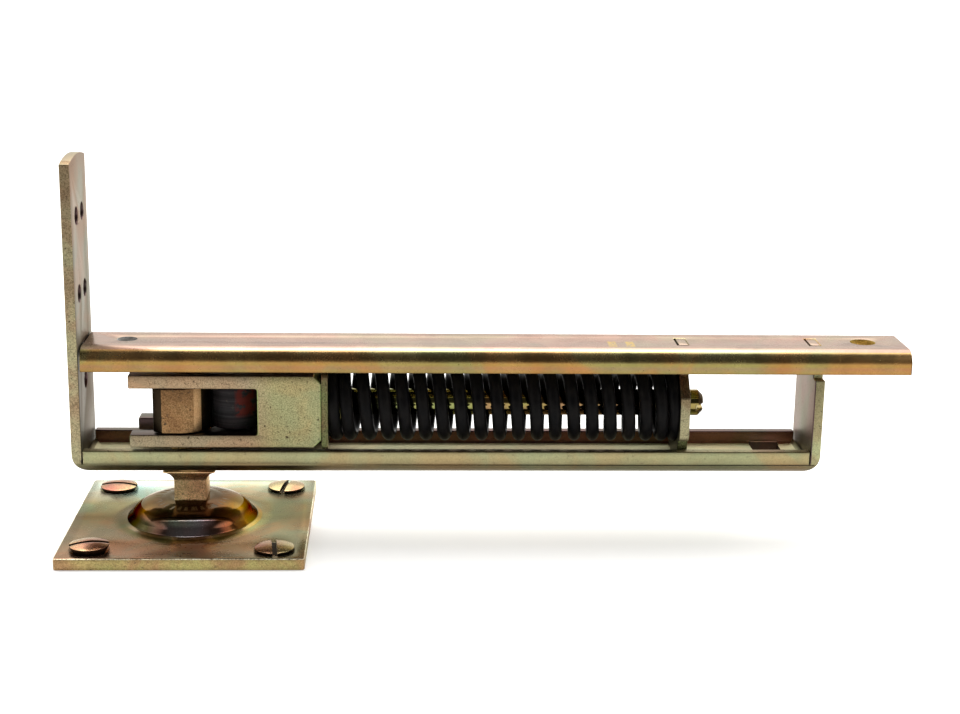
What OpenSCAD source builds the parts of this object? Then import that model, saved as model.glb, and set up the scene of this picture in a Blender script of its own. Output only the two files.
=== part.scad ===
// Double-action floor spring pivot for a swing door.
// The folded frame is cut into the bottom corner of the door and turns on a
// spindle that stands on the floor plate.  A cam keyed to the spindle pushes a
// roller, and with it a forked yoke, against a compression spring.
// Origin: spindle axis at the underside of the floor plate.  +X runs along the
// frame to its free end, +Z is up.

/* [Floor plate] */
// Side of the square floor plate
plate_w = 72; // [60:1:90]
// Thickness of the floor plate
plate_t = 3.5; // [2.5:0.5:5]
// Radius at which the crown of the pressed dome turns down
dome_r = 13.6; // [12.5:0.1:15]
// Height of that shoulder above the plate
dome_h = 5.4; // [4.6:0.1:6]
// Radius of the low crown of the dome
crown_r = 45; // [35:1:80]
// Distance between screw holes along X
screw_dx = 53.6; // [48:0.2:58]
// Distance between screw holes along Y
screw_dy = 55.6; // [48:0.2:58]
// Diameter of the screw heads
screw_head_d = 11.6; // [10:0.2:12]
// Diameter of the plain screw shank
screw_shank_d = 6.2; // [5:0.1:6.5]
// Length of the screws below the floor plate
screw_len = 32; // [20:1:50]

/* [Frame] */
// Overall length, from the outer face of the end plate to the free end
frame_len = 250; // [230:1:280]
// Width of the folded frame
frame_w = 25; // [22:0.5:30]
// Height of the frame over both channels
frame_h = 38.5; // [36:0.5:44]
// Thickness of the frame sheet
sheet = 3; // [2.5:0.5:3.5]
// Height of the folded flanges
flange_h = 7.2; // [6:0.2:8]
// Outer radius of the flange folds
fold_r = 4.5; // [4:0.5:6]
// Outer radius of the upturned ends
end_fold_r = 6; // [5:0.5:8]
// Height of the door edge plate above the frame's underside
edge_plate_h = 93.8; // [80:0.2:110]
// Rise of the arched top of the door edge plate
edge_crown = 1.5; // [0.5:0.1:3]
// Distance from the spindle axis to the outer face of the edge plate
edge_to_axis = 33.8; // [32:0.2:38]
// Free height between floor plate and frame
floor_gap = 17.8; // [16:0.2:24]
// Length of the lower channel
lower_len = 224; // [215:1:235]

/* [Mechanism] */
// Diameter of the cam roller
roller_d = 14.4; // [12:0.2:14.4]
// Cam radius under the roller with the door closed
cam_r0 = 6.32; // [6.2:0.02:6.6]
// Travel of the yoke over a quarter turn
cam_lift = 5; // [3:0.5:6]
// Height of the fork's mouth
mouth_h = 14.2; // [12:0.1:15]
// Outer diameter of the spring
spring_d = 23.7; // [22:0.1:24]
// Diameter of the spring wire
wire_d = 4; // [3:0.1:4.2]
// Turns of the spring between its end crossings
spring_turns = 19; // [17:1:20]
// Diameter of the tension rod
rod_d = 8; // [6:0.5:8]

/* [Hidden] */

$fn = 48;
far = 400;
tall = 150;
run_fit = 0.05;
press_gap = 0.01;
side_gap = 0.3;

// heights of the frame
frame_z = plate_t + floor_gap;
web_top = frame_z + sheet;
lower_flange_top = frame_z + flange_h;
upper_top = frame_z + frame_h;
upper_web = upper_top - sheet;
upper_flange_z = upper_top - flange_h;
inner_w = frame_w - 2 * sheet;

// places along the frame
edge_x = -edge_to_axis;
edge_in = edge_x + sheet;
free_end = edge_x + frame_len;
tab_out = edge_x + lower_len;
tab_in = tab_out - sheet;
channel_gap = 0.5;
channel_x = edge_in + channel_gap;
abutment_x = 147.1;
flange_slit = 0.3;

// spindle
dome_shoulder = plate_t + dome_h;
dome_wall = 3.2;
dome_ceiling = dome_shoulder - dome_wall;
crown_slope = asin(dome_r / crown_r);
crown_c = dome_shoulder - sqrt(pow(crown_r, 2) - pow(dome_r, 2));
shoulder_r = 8;
wall_slope = 58;
foot_r = 2.5;
skirt_slope = 20;
spindle_seat_r = 7;
spindle_seat = crown_c + sqrt(pow(crown_r, 2) - pow(spindle_seat_r, 2));
tenon_sq = 7.8;
neck_sq = 9.7;
flare_z = 15.9;
flare_r = 4.5;
flare_bite = 0.1;
flare_c = neck_sq / 2 + flare_r - flare_bite;
collar_r = 7.75;
collar_z = flare_z + sqrt(pow(flare_r, 2) - pow(flare_c - collar_r, 2));
bush_flange_t = 0.8;
collar_top = frame_z - bush_flange_t;
journal_r = 6.2;
journal_over = 0.4;
bush_wall = 0.95;
shaft_r = 6;
cam_sq = 8.6;
stub_r = 4.2;
washer_t = 1;
washer_r = 11;
rivet_h = 3;
rivet_r = 5.5;
rivet_flare = 2.5;
key_fit = 0.04;

// yoke
yoke_w = 24;
yoke_x0 = -16.6;
yoke_x1 = 40;
yoke_z0 = frame_z + 8.2;
yoke_z1 = frame_z + 30.2;
mouth_z = frame_z + 12;
mouth_end = 21.1;
slot_w = 12.6;
slot_end = 7.7;
yoke_chamfer = 2.3;
mouth_corner = 0.8;
rod_z = frame_z + 19.3;
rod_x0 = 26.7;
rod_x1 = 155.6;

// roller and cam
roller_r = roller_d / 2;
nest_gap = 0.08;
roller_x = cam_r0 + nest_gap + roller_r;
pin_r = 3;
cam_z = mouth_z + side_gap;
cam_h = mouth_h - 2 * side_gap;
cam_back = 9.9;
cam_back_chamfer = [2.8, 2];

// spring
seat_t = 2;
seat_x = yoke_x1;
spring_x0 = seat_x + seat_t;
spring_x1 = abutment_x;
coil_r = (spring_d - wire_d) / 2;

function arc(c, r, a0, a1, n) = [for (i = [0:n]) let (a = a0 + (a1 - a0) * i / n)
    [c[0] + r * cos(a), c[1] + r * sin(a)]];

module bar(x0, x1, y, z0, z1) {
    translate([x0, -y / 2, z0]) cube([x1 - x0, y, z1 - z0]);
}

module along_x(x0, x1) {
    translate([x0, 0, 0]) rotate([90, 0, 90]) linear_extrude(x1 - x0) children();
}

module across_y(w) {
    translate([0, w / 2, 0]) rotate([90, 0, 0]) linear_extrude(w) children();
}

module rounded(x, y, r) {
    translate([-x / 2 + r, -y / 2]) square([x - 2 * r, y]);
    translate([-x / 2, -y / 2 + r]) square([x, y - 2 * r]);
    for (sx = [-1, 1], sy = [-1, 1])
        translate([sx * (x / 2 - r), sy * (y / 2 - r)]) circle(r);
}

module drill_x(x, y, z, r) {
    translate([x, y, z]) rotate([0, 90, 0]) cylinder(r = r, h = 2 * sheet, center = true);
}

module sink_x(x, y, z, r, depth) {
    translate([x - 0.01, y, z]) rotate([0, 90, 0]) cylinder(r1 = r + depth, r2 = r, h = depth);
}

// ---------------------------------------------------------------- floor plate

// Half section of the dome: crown, shoulder, wall foot and the low skirt that
// runs out onto the plate
shoulder_c = [dome_r - shoulder_r * sin(crown_slope), dome_shoulder - shoulder_r * cos(crown_slope)];
wall_p = shoulder_c + shoulder_r * [sin(wall_slope), cos(wall_slope)];
foot_c = wall_p + foot_r * [sin(wall_slope), cos(wall_slope)];
foot_p = foot_c - foot_r * [sin(skirt_slope), cos(skirt_slope)];
skirt_r = (foot_p[1] - plate_t) / (1 - cos(skirt_slope));
skirt_c = foot_p + skirt_r * [sin(skirt_slope), cos(skirt_slope)];

module dome_section() {
    polygon(concat(
        [[0, 0], [0, spindle_seat]],
        arc([0, crown_c], crown_r, 90 - asin(spindle_seat_r / crown_r), 90 - crown_slope, 6),
        arc(shoulder_c, shoulder_r, 90 - crown_slope - 4, 90 - wall_slope, 12),
        arc(foot_c, foot_r, 267 - wall_slope, 270 - skirt_slope, 8),
        arc(skirt_c, skirt_r, 268 - skirt_slope, 270, 8),
        [[skirt_c[0], 0]]));
}

// Half section of the hollow under the dome, its side parallel to the wall
module dome_hollow() {
    p = wall_p - dome_wall * [sin(wall_slope), cos(wall_slope)];
    run = 1 / tan(wall_slope);
    polygon([[0, -1], [p[0] + (p[1] + 1) * run, -1],
             [p[0] - (dome_ceiling - p[1]) * run, dome_ceiling], [0, dome_ceiling]]);
}

module at_screws() {
    for (sx = [-1, 1], sy = [-1, 1])
        translate([sx * screw_dx / 2, sy * screw_dy / 2, 0]) children();
}

head_r = screw_head_d / 2;
countersink_gap = 0.15;

module floor_plate() {
    color("darkkhaki") difference() {
        union() {
            linear_extrude(plate_t) rounded(plate_w, plate_w, 1);
            rotate_extrude($fn = 96) dome_section();
        }
        rotate_extrude($fn = 96) dome_hollow();
        block(tenon_sq, 0, far);
        at_screws() {
            translate([0, 0, -1]) cylinder(r = screw_shank_d / 2 + countersink_gap, h = plate_t);
            cylinder(r1 = screw_shank_d / 2 + countersink_gap, r2 = head_r + countersink_gap,
                     h = plate_t);
        }
    }
}

screw_rise = 1.1;
screw_rim = 0.3;
screw_slot_w = 1.5;
screw_slot_d = 1.6;
screw_tip = 4;
thread_depth = 0.8;
shank_share = 0.4;
tip_r = 0.2;
// How far each head stands off the plate, and the turn of its slot
screw_stand = [1.3, 0.5, 0.7, 0.6];
slot_turn = [12, 96, -3, 79];

// Raised countersunk wood screw, not quite driven home
module wood_screw(stand, turn) {
    rim_z = plate_t + stand;
    cap_h = screw_rise - screw_rim;
    cap_r = (pow(head_r, 2) + pow(cap_h, 2)) / (2 * cap_h);
    shank_len = screw_len * shank_share;
    core_r = screw_shank_d / 2 - thread_depth;
    difference() {
        union() {
            intersection() {
                translate([0, 0, rim_z + screw_rise - cap_r]) sphere(cap_r, $fn = 96);
                round_bar(head_r, rim_z, rim_z + screw_rise);
            }
            cylinder(r1 = screw_shank_d / 2, r2 = head_r, h = rim_z);
            round_bar(screw_shank_d / 2, -shank_len, 0);
            round_bar(core_r, screw_tip - screw_len, -shank_len);
            translate([0, 0, -screw_len]) cylinder(r1 = tip_r, r2 = core_r, h = screw_tip);
        }
        rotate(turn) translate([-screw_head_d, -screw_slot_w / 2, rim_z + screw_rise - screw_slot_d])
            cube([2 * screw_head_d, screw_slot_w, screw_head_d]);
    }
}

module floor_screws() {
    color("rosybrown") for (i = [0:3])
        translate([(i % 2 - 0.5) * screw_dx, (floor(i / 2) - 0.5) * screw_dy, 0])
            wood_screw(screw_stand[i], slot_turn[i]);
}

// -------------------------------------------------------------------- spindle

module block(s, z0, z1) {
    translate([-s / 2, -s / 2, z0]) cube([s, s, z1 - z0]);
}

module round_bar(r, z0, z1) {
    translate([0, 0, z0]) cylinder(r = r, h = z1 - z0);
}

stub_top = upper_web - 0.5;

// Side view of the neck's four spreading faces, below the journal
module flare_side() {
    difference() {
        translate([-collar_r, flare_z]) square([2 * collar_r, collar_top - flare_z]);
        for (s = [-1, 1]) translate([s * flare_c, flare_z]) circle(flare_r, $fn = 64);
    }
}

module spindle() {
    rivet_z = dome_ceiling - washer_t;
    color("rosybrown") union() {
        translate([0, 0, rivet_z - rivet_h]) cylinder(r1 = rivet_r, r2 = rivet_r + rivet_flare, h = rivet_h);
        block(tenon_sq, rivet_z, spindle_seat);
        block(neck_sq, spindle_seat, collar_z);
        intersection() {
            across_y(2 * collar_r) flare_side();
            along_x(-collar_r, collar_r) flare_side();
        }
        round_bar(journal_r, collar_top, web_top + journal_over);
        round_bar(shaft_r, web_top + journal_over, cam_z);
        block(cam_sq, cam_z, cam_z + cam_h);
        round_bar(stub_r, cam_z + cam_h, stub_top);
    }
}

module spindle_washer() {
    color("darkkhaki") difference() {
        round_bar(washer_r, dome_ceiling - washer_t, dome_ceiling);
        block(tenon_sq, 0, far);
    }
}

// Place of the roller's centre for door angle a, seen from the cam
function pitch_r(a) = roller_x + cam_lift * abs(a) / 90;
slope = cam_lift / (PI / 2);
function cam_point(a) = let (p = pitch_r(a), n = [p, -sign(a) * slope] / norm([p, slope]),
    reach = roller_r + nest_gap, u = p - reach * n[0], v = -reach * n[1])
    [u * cos(a) - v * sin(a), u * sin(a) + v * cos(a)];
nest_angle = atan(slope / roller_x);
cam_steps = 18;
cam_half_w = cam_point(90)[1];

// The flanks let the yoke move in proportion to the door's angle either way,
// and the roller settles into the nest between them when the door is closed
module cam_outline() {
    nest = arc([roller_x, 0], roller_r + nest_gap, 180 + nest_angle, 180 - nest_angle, 8);
    flank = [for (i = [1:cam_steps]) cam_point(90 * i / cam_steps)];
    back = [[cam_back_chamfer[0] - cam_back, cam_half_w], [-cam_back, cam_half_w - cam_back_chamfer[1]]];
    upper = concat(flank, back);
    lower = [for (i = [len(upper) - 1:-1:0]) [upper[i][0], -upper[i][1]]];
    polygon(concat(nest, upper, lower));
}

module cam() {
    color("tan") translate([0, 0, cam_z]) linear_extrude(cam_h) difference() {
        cam_outline();
        square(cam_sq + key_fit, center = true);
    }
}

// ---------------------------------------------------------------------- frame

bush_out_r = journal_r + run_fit + bush_wall;

module lower_bush() {
    color("darkgoldenrod") difference() {
        union() {
            round_bar(bush_out_r, frame_z, web_top);
            round_bar(collar_r, collar_top, frame_z);
        }
        round_bar(journal_r + run_fit, 0, far);
    }
}

// Outline of the strap seen from the front, between its two upturned ends
module strap_outline() {
    translate([edge_x, frame_z + end_fold_r]) square([lower_len, edge_plate_h - end_fold_r]);
    translate([edge_x + end_fold_r, frame_z]) square([lower_len - 2 * end_fold_r, tall]);
    for (x = [edge_x + end_fold_r, tab_out - end_fold_r])
        translate([x, frame_z + end_fold_r]) circle(end_fold_r);
}

// Hollow between the upturned ends
module strap_hollow() {
    r = end_fold_r - sheet;
    translate([edge_in, web_top + r]) square([tab_in - edge_in, tall]);
    translate([edge_in + r, web_top]) square([tab_in - edge_in - 2 * r, tall]);
    for (x = [edge_in + r, tab_in - r]) translate([x, web_top + r]) circle(r);
}

// Section of a channel lying on its web, w wide with fold radius r
module channel_section(w, r) {
    translate([-w / 2 + r, 0]) square([w - 2 * r, tall]);
    translate([-w / 2, r]) square([w, tall]);
    for (s = [-1, 1]) translate([s * (w / 2 - r), r]) circle(r);
}

tab_shoulder = frame_z + 29.5;
fit_gap = 0.4;
fold_clear = fold_r - sheet + 0.1;
tenon_w = 8;
tenon_drop = 0.1;
edge_hole_r = 2.65;
edge_hole_dy = 9;
edge_hole_z = [frame_z + 76.3, frame_z + 53.2];
edge_low_z = frame_z + 26;
edge_sink = 1.5;
web_hole_x = 177.3;
web_hole_y = 5.1;
web_hole_r = 4.4;
slack = [0.6, 1.1];

// Upright piece that fills the frame's width below the upper flanges, then
// narrows to pass between them and ends in a tenon through the upper web
module narrowing(x0, x1) {
    bar(x0, x1, inner_w - fit_gap, tab_shoulder - 1, upper_web - fold_clear);
    bar(x0, x1, inner_w - 2 * fold_clear, tab_shoulder, upper_web);
    bar(x0, x1, tenon_w, upper_web - 1, upper_top - tenon_drop);
}

module lower_channel() {
    crown_r = (pow(frame_w / 2, 2) + pow(edge_crown, 2)) / (2 * edge_crown);
    color("khaki") difference() {
        union() {
            difference() {
                intersection() {
                    across_y(frame_w) strap_outline();
                    translate([0, 0, frame_z]) along_x(edge_x, tab_out)
                        channel_section(frame_w, fold_r);
                }
                intersection() {
                    across_y(inner_w) strap_hollow();
                    translate([0, 0, web_top]) along_x(edge_in, tab_in)
                        channel_section(inner_w, fold_r - sheet);
                }
                bar(edge_in, tab_in, frame_w + 2, lower_flange_top, far);
                bar(tab_in - 1, far, frame_w + 2, tab_shoulder, far);
                for (x = [edge_in, tab_in - flange_slit])
                    bar(x, x + flange_slit, frame_w + 2, web_top, far);
            }
            narrowing(tab_in, tab_out);
        }
        // arched top of the edge plate
        difference() {
            bar(edge_x - 1, edge_in + 1, frame_w + 2, frame_z + edge_plate_h - 4, far);
            translate([edge_x - 2, 0, frame_z + edge_plate_h - crown_r])
                rotate([0, 90, 0]) cylinder(r = crown_r, h = sheet + 4, $fn = 128);
        }
        for (z = edge_hole_z, s = [-1, 1]) {
            drill_x(edge_x, s * edge_hole_dy / 2, z, edge_hole_r);
            sink_x(edge_x, s * edge_hole_dy / 2, z, edge_hole_r, edge_sink);
        }
        drill_x(edge_x, 0, edge_low_z, edge_hole_r);
        sink_x(edge_x, 0, edge_low_z, edge_hole_r, edge_sink);
        // slots for the tenons of the upper channel and the abutment
        bar(edge_x - 1, edge_in + 1, tenon_w, upper_web, upper_top - tenon_drop);
        bar(abutment_x, abutment_x + sheet, tenon_w, frame_z - 1, web_top + 1);
        round_bar(bush_out_r + press_gap, 0, far);
        // punched opening that runs back to the foot of the flange
        translate([web_hole_x, 0, frame_z - 1]) {
            translate([0, web_hole_y, 0]) cylinder(r = web_hole_r, h = sheet + 2);
            translate([-web_hole_r, web_hole_y, 0]) cube([2 * web_hole_r, inner_w / 2 - web_hole_y, sheet + 2]);
        }
    }
}

top_hole_x = -18.15;
top_hole_r = 2.95;
end_hole_x = 204;
end_hole_r = 3.75;

module upper_channel() {
    color("tan") difference() {
        union() {
            difference() {
                translate([0, 0, upper_top]) mirror([0, 0, 1]) along_x(channel_x, free_end)
                    channel_section(frame_w, fold_r);
                translate([0, 0, upper_web]) mirror([0, 0, 1]) along_x(channel_x - 1, free_end + 1)
                    channel_section(inner_w, fold_r - sheet);
                bar(channel_x - 1, free_end + 1, frame_w + 2, -far, upper_flange_z);
            }
            bar(edge_x + tenon_drop, channel_x + 1, tenon_w, upper_web, upper_top - tenon_drop);
        }
        for (x = [abutment_x, tab_in])
            translate([x - slack[0], -tenon_w / 2 - slack[1], upper_web - 1])
                cube([sheet + slack[0], tenon_w + slack[1], sheet + 2]);
        translate([top_hole_x, 0, upper_web - 1]) cylinder(r = top_hole_r, h = sheet + 2);
        translate([end_hole_x, 0, upper_web - 1]) cylinder(r = end_hole_r, h = sheet + 2);
    }
}

cup_z = yoke_z1 + 0.5;
cup_r = 7.8;
top_bush_r = 5.6;

module pivot_cup() {
    color("khaki") difference() {
        round_bar(cup_r, cup_z, upper_web);
        round_bar(top_bush_r + press_gap, 0, far);
    }
}

module top_bush() {
    color("darkgoldenrod") difference() {
        round_bar(top_bush_r, cup_z, upper_web);
        round_bar(stub_r + run_fit, 0, far);
    }
}

foot_shoulder = frame_z + 9.9;
plate_corner_r = 2.5;
shoulder_cut = 6;

// What the end plate's sloping upper shoulders leave away
module shoulder_waste() {
    y = frame_w / 2;
    along_x(abutment_x - 1, abutment_x + sheet + 1) for (s = [-1, 1])
        polygon([[s * y, tab_shoulder - shoulder_cut], [s * (y - shoulder_cut), tab_shoulder],
                 [s * (y - shoulder_cut), upper_top], [s * (y + 1), upper_top],
                 [s * (y + 1), tab_shoulder - shoulder_cut]]);
}

module end_plate() {
    mid = (foot_shoulder + tab_shoulder) / 2;
    color("khaki") difference() {
        union() {
            translate([0, 0, mid]) along_x(abutment_x, abutment_x + sheet)
                rounded(frame_w - fit_gap, tab_shoulder - foot_shoulder, plate_corner_r);
            narrowing(abutment_x, abutment_x + sheet);
            bar(abutment_x, abutment_x + sheet, inner_w - fit_gap, web_top + fold_clear, foot_shoulder + 1);
            bar(abutment_x, abutment_x + sheet, inner_w - 2 * fold_clear, web_top, foot_shoulder);
            bar(abutment_x, abutment_x + sheet, tenon_w, frame_z + tenon_drop, web_top + 1);
        }
        drill_x(abutment_x + sheet / 2, 0, rod_z, rod_d / 2 + run_fit);
        shoulder_waste();
    }
}

// --------------------------------------------------------------------- spring

closed_pitch = wire_d + 0.06;
ramp_a = 0.8;
ramp_b = 1.3;
tail = 0.05;
end_gap = 0.05;
rings_per_turn = 20;
wire_sides = 8;

// Turns that count as open after t turns from one end, eased between a and b
function eased(t) = t < ramp_a ? 0 :
    t < ramp_b ? pow(t - ramp_a, 2) / (2 * (ramp_b - ramp_a)) : t - (ramp_a + ramp_b) / 2;
function opened(t) = t < spring_turns / 2 ? eased(t)
    : 2 * eased(spring_turns / 2) - eased(spring_turns - t);
coil_x0 = spring_x0 + wire_d / 2 + end_gap + closed_pitch * tail;
coil_len = spring_x1 - spring_x0 - wire_d - 2 * end_gap - 2 * closed_pitch * tail;
open_extra = (coil_len - closed_pitch * spring_turns) / opened(spring_turns);
function coil_x(t) = coil_x0 + closed_pitch * t + open_extra * opened(t);

// Right-hand helix about the rod, crossing the front at every whole turn
function coil_ring(t) = let (a = 360 * t)
    [for (i = [0:wire_sides - 1]) let (b = 360 * i / wire_sides,
        r = coil_r + wire_d / 2 * cos(b))
        [coil_x(t) + wire_d / 2 * sin(b), -r * cos(a), rod_z - r * sin(a)]];

module spring() {
    count = round((spring_turns + 2 * tail) * rings_per_turn);
    n = wire_sides;
    rings = [for (k = [0:count]) coil_ring(-tail + k / rings_per_turn)];
    points = [for (ring = rings, p = ring) p];
    skin = [for (k = [0:count - 1], i = [0:n - 1])
        [k * n + i, k * n + (i + 1) % n, (k + 1) * n + (i + 1) % n, (k + 1) * n + i]];
    color("dimgray") polyhedron(points, concat(
        [[for (i = [n - 1:-1:0]) i]], skin, [[for (i = [0:n - 1]) count * n + i]]), convexity = 10);
}

// ----------------------------------------------------------------------- yoke

module yoke_side() {
    difference() {
        polygon([[yoke_x0, yoke_z0], [yoke_x1 - yoke_chamfer, yoke_z0],
                 [yoke_x1, yoke_z0 + yoke_chamfer], [yoke_x1, yoke_z1 - yoke_chamfer],
                 [yoke_x1 - yoke_chamfer, yoke_z1], [yoke_x0, yoke_z1]]);
        translate([yoke_x0 - 1, mouth_z]) square([mouth_end - yoke_x0 + 1 - mouth_corner, mouth_h]);
        translate([yoke_x0, mouth_z + mouth_corner]) square([mouth_end - yoke_x0, mouth_h - 2 * mouth_corner]);
        for (z = [mouth_z + mouth_corner, mouth_z + mouth_h - mouth_corner])
            translate([mouth_end - mouth_corner, z]) circle(mouth_corner);
    }
}

module yoke() {
    slot_r = slot_w / 2;
    color("darkkhaki") difference() {
        across_y(yoke_w) yoke_side();
        // open slot that lets the fork pass the spindle
        bar(yoke_x0 - 1, slot_end - slot_r, slot_w, 0, far);
        translate([slot_end - slot_r, 0, 0]) cylinder(r = slot_r, h = far);
        translate([roller_x, 0, 0]) cylinder(r = pin_r, h = far);
        translate([rod_x0 - 0.3, 0, rod_z]) rotate([0, 90, 0])
            cylinder(r = rod_d / 2 + run_fit, h = far);
    }
}

module roller_pin() {
    color("silver") translate([roller_x, 0, 0]) round_bar(pin_r, yoke_z0, yoke_z1);
}

module roller() {
    color("dimgray") translate([roller_x, 0, 0]) difference() {
        round_bar(roller_r, cam_z, cam_z + cam_h);
        round_bar(pin_r + run_fit, 0, far);
    }
}

seat_z0 = lower_flange_top + 0.4;
seat_z1 = upper_flange_z - 0.4;
seat_corner = 1.5;

module spring_seat() {
    color("darkkhaki") difference() {
        translate([0, 0, (seat_z0 + seat_z1) / 2]) along_x(seat_x, seat_x + seat_t)
            rounded(yoke_w, seat_z1 - seat_z0, seat_corner);
        drill_x(seat_x, 0, rod_z, rod_d / 2 + run_fit);
    }
}

nut_af = 13;
nut_h = 6;

module tension_nut() {
    color("darkkhaki") translate([spring_x0, 0, rod_z]) rotate([0, 90, 0]) difference() {
        cylinder(d = nut_af / cos(30), h = nut_h, $fn = 6);
        translate([0, 0, -1]) cylinder(r = rod_d / 2 + run_fit, h = nut_h + 2);
    }
}

driver_slot_w = 1.8;
driver_slot_d = 2.4;
driver_slot_turn = 11;
rod_nose = 1.5;

module tension_rod() {
    color("darkkhaki") difference() {
        translate([rod_x0, 0, rod_z]) rotate([0, 90, 0]) union() {
            cylinder(d = rod_d, h = rod_x1 - rod_nose - rod_x0);
            translate([0, 0, rod_x1 - rod_nose - rod_x0])
                cylinder(d1 = rod_d, d2 = rod_d - 2 * rod_nose, h = rod_nose);
        }
        translate([rod_x1 - driver_slot_d, 0, rod_z]) rotate([driver_slot_turn, 0, 0])
            translate([0, -rod_d, -driver_slot_w / 2]) cube([rod_d, 2 * rod_d, driver_slot_w]);
    }
}

floor_plate();
floor_screws();
spindle();
spindle_washer();
cam();
lower_bush();
lower_channel();
upper_channel();
pivot_cup();
top_bush();
end_plate();
spring();
yoke();
roller_pin();
roller();
spring_seat();
tension_nut();
tension_rod();
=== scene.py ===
"""Floor spring pivot of a swing door: finishes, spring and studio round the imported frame."""

import math

import bpy
from mathutils import Matrix, Vector


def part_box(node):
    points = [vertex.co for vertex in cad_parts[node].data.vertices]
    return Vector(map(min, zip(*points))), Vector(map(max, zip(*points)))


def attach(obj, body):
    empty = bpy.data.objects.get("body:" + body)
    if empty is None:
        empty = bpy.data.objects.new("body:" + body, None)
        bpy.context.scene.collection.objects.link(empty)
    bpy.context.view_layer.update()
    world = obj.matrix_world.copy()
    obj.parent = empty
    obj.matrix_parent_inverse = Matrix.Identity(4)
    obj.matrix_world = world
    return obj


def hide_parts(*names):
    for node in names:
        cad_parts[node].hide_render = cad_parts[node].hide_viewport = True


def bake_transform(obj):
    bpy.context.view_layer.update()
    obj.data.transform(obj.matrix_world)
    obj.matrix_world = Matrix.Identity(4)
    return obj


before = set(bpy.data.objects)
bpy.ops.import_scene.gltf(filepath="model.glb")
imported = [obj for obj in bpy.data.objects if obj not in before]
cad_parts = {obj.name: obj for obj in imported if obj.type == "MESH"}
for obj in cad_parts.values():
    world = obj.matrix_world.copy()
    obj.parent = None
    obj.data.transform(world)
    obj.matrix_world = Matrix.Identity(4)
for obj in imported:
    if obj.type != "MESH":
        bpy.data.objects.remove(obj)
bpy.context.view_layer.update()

MM = 0.001


# ------------------------------------------------------------------ workshop

def pick(piece):
    """Make the piece the only one selected."""
    bpy.ops.object.select_all(action="DESELECT")
    piece.select_set(True)
    bpy.context.view_layer.objects.active = piece


def apply_all(piece):
    pick(piece)
    for modifier in list(piece.modifiers):
        bpy.ops.object.modifier_apply(modifier=modifier.name)


def smooth(piece, angle=32):
    pick(piece)
    bpy.ops.object.shade_smooth_by_angle(angle=math.radians(angle))


def edit_all(piece):
    """Open the piece in edit mode with all of it selected."""
    pick(piece)
    bpy.ops.object.mode_set(mode="EDIT")
    bpy.ops.mesh.select_all(action="SELECT")


def join_flats(piece):
    """Weld a shape made of loose triangles and join up its flat faces."""
    edit_all(piece)
    bpy.ops.mesh.remove_doubles(threshold=2e-6)
    bpy.ops.mesh.dissolve_limited(angle_limit=math.radians(0.6))
    bpy.ops.object.mode_set(mode="OBJECT")


def close_up(piece):
    """Weld a new shape and turn its faces outwards."""
    edit_all(piece)
    bpy.ops.mesh.remove_doubles(threshold=1e-6)
    bpy.ops.mesh.normals_make_consistent(inside=False)
    bpy.ops.object.mode_set(mode="OBJECT")


def merged_copy(node, name):
    """A welded copy of a CAD solid, with its flat faces joined up."""
    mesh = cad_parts[node].data.copy()
    mesh.materials.clear()
    piece = bpy.data.objects.new(name, mesh)
    bpy.context.scene.collection.objects.link(piece)
    join_flats(piece)
    return piece


def drawn_line(points, closed=False):
    """A bare line through the points, which are in millimetres."""
    bpy.ops.curve.primitive_nurbs_path_add(location=(0, 0, 0))
    piece = bpy.context.object
    shape = piece.data
    shape.dimensions = "3D"
    shape.splines.clear()
    line = shape.splines.new("POLY")
    line.points.add(len(points) - 1)
    for point, (x, y, z) in zip(line.points, points):
        point.co = (x * MM, y * MM, z * MM, 1)
    line.use_cyclic_u = closed
    return piece


def turn_to_mesh(piece):
    pick(piece)
    bpy.ops.object.convert(target="MESH")


def ease_edges(piece, width, clamp):
    """Break the sharp edges, as tumbling and plating leave them."""
    bevel = piece.modifiers.new("eased", "BEVEL")
    bevel.width = width * MM
    bevel.segments = 2
    bevel.limit_method = "ANGLE"
    bevel.angle_limit = math.radians(30)
    bevel.use_clamp_overlap = clamp
    apply_all(piece)


def paint(piece, finish, wanted):
    """Give the finish to the faces that wanted picks by centre, in millimetres, and normal."""
    slots = piece.data.materials
    if finish.name not in slots:
        slots.append(finish)
    index = slots.find(finish.name)
    for face in piece.data.polygons:
        if wanted(face.center / MM, face.normal):
            face.material_index = index


def fit(piece, body, node):
    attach(piece, body)
    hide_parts(node)


def make(node, name, body, finish, edge=0.3, reshape=None, clamp=True):
    """A finished copy of a CAD solid with eased edges, fitted in its place.

    clamp is off where a sliver of a face would hold back the easing of all the other edges.
    """
    piece = merged_copy(node, name)
    if reshape:
        reshape(piece)
    ease_edges(piece, edge, clamp)
    smooth(piece)
    piece.data.materials.append(finish)
    fit(piece, body, node)
    return piece


# ---------------------------------------------------------------- finish kit

def new_group(name, inputs, outputs):
    group = bpy.data.node_groups.new(name, "ShaderNodeTree")
    for label, kind, value in inputs:
        socket = group.interface.new_socket(name=label, in_out="INPUT", socket_type=kind)
        socket.default_value = value
    for label, kind in outputs:
        group.interface.new_socket(name=label, in_out="OUTPUT", socket_type=kind)
    group.nodes.new("NodeGroupInput").name = "in"
    group.nodes.new("NodeGroupOutput").name = "out"
    return group


def wire(tree, source, target):
    tree.links.new(source, target)


def feed(tree, values, sockets):
    """Wire each value to its socket, or set it there if it is a constant."""
    for value, socket in zip(values, sockets):
        if hasattr(value, "is_linked"):
            wire(tree, value, socket)
        else:
            socket.default_value = value if isinstance(value, (int, float)) else (*value, 1.0)


def own_place(tree):
    return tree.nodes.new("ShaderNodeTexCoord").outputs["Object"]


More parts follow.
